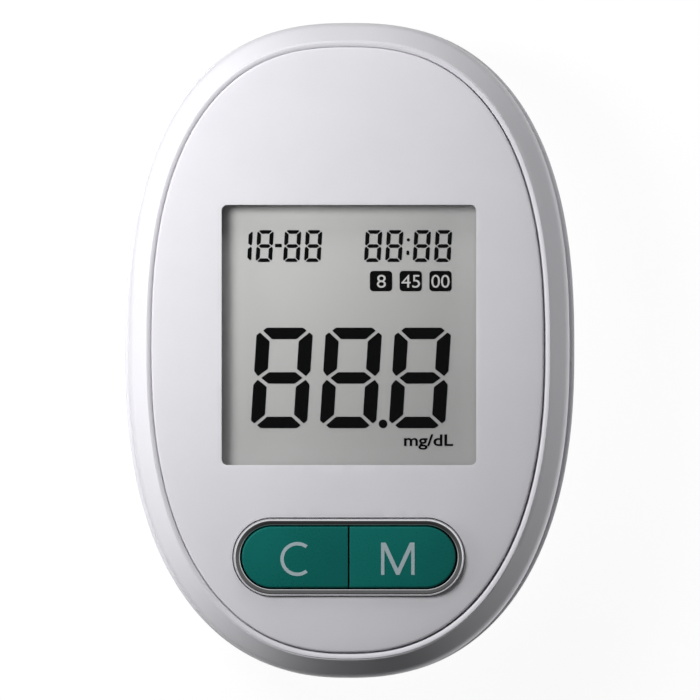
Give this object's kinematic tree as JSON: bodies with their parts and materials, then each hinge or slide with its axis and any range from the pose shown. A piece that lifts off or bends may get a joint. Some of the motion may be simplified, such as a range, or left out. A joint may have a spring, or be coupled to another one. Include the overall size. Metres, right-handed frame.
{
  "type": "blood glucose meter",
  "caption": "Palm-sized blood glucose meter: oval white case, square display, green pill keys in a polished ring, a test strip slot in the top end and a sliding battery door.",
  "frame": {"origin": "bottom centre of the bounding box, on the surface that the meter's back rests on", "axes": "+Z from the back to the display, +Y towards the test strip end, +X to the right of the display"},
  "size_m": [0.057, 0.083, 0.0218],
  "materials": {
    "case_white": "satin white moulded plastic with a faint cool tint",
    "key_green": "deep blue-green moulded plastic, satin",
    "ring_chrome": "polished plating",
    "lens_clear": "clear hard-coated lens",
    "display_glass": "grey display glass with dark segments",
    "board": "green solder mask on glass-fibre board",
    "black_plastic": "black moulded plastic",
    "rubber": "black soft rubber",
    "grey_plastic": "grey moulded plastic",
    "steel": "bright nickel-plated steel",
    "gold": "gold-plated spring metal",
    "cell": "printed sleeve over a steel can"
  },
  "bodies": {
    "case": {"rear_cover": "case_white", "front_bezel": "case_white", "face_panel": "case_white", "display_window": "lens_clear", "dust_gasket": "rubber", "display_front_glass": "display_glass", "display_rear_glass": "display_glass", "zebra_connector_1": "rubber", "zebra_connector_2": "rubber", "display_frame": "black_plastic", "button_ring": "ring_chrome", "c_switch": "black_plastic", "m_switch": "black_plastic", "main_board": "board", "processor_chip": "black_plastic", "timing_crystal": "steel", "buzzer": "black_plastic", "battery_cell_1": "cell", "battery_cell_2": "cell", "battery_spring_1": "steel", "battery_spring_2": "steel", "positive_contact": "steel", "negative_contact": "steel", "link_contact": "steel", "strip_port_guide": "grey_plastic", "strip_connector": "black_plastic", "strip_contact_1": "gold", "strip_contact_2": "gold", "strip_contact_3": "gold", "case_screw_1": "steel", "board_screw_1": "steel", "case_screw_2": "steel", "board_screw_2": "steel", "case_screw_3": "steel", "board_screw_3": "steel", "case_screw_4": "steel", "board_screw_4": "steel"},
    "c_key": {"c_button": "key_green", "c_plunger": "grey_plastic"},
    "m_key": {"m_button": "key_green", "m_plunger": "grey_plastic"},
    "door": {"battery_door": "case_white"}
  },
  "joints": [
    {"name": "c_key_press", "type": "slide", "parent": "case", "child": "c_key", "axis": [0, 0, -1], "range_m": [0, 0.0004], "stiffness_N_per_m": 300},
    {"name": "m_key_press", "type": "slide", "parent": "case", "child": "m_key", "axis": [0, 0, -1], "range_m": [0, 0.0004], "stiffness_N_per_m": 300},
    {"name": "battery_door_slide", "type": "slide", "parent": "case", "child": "door", "axis": [0, -1, 0], "range_m": [0, 0.058]}
  ]
}
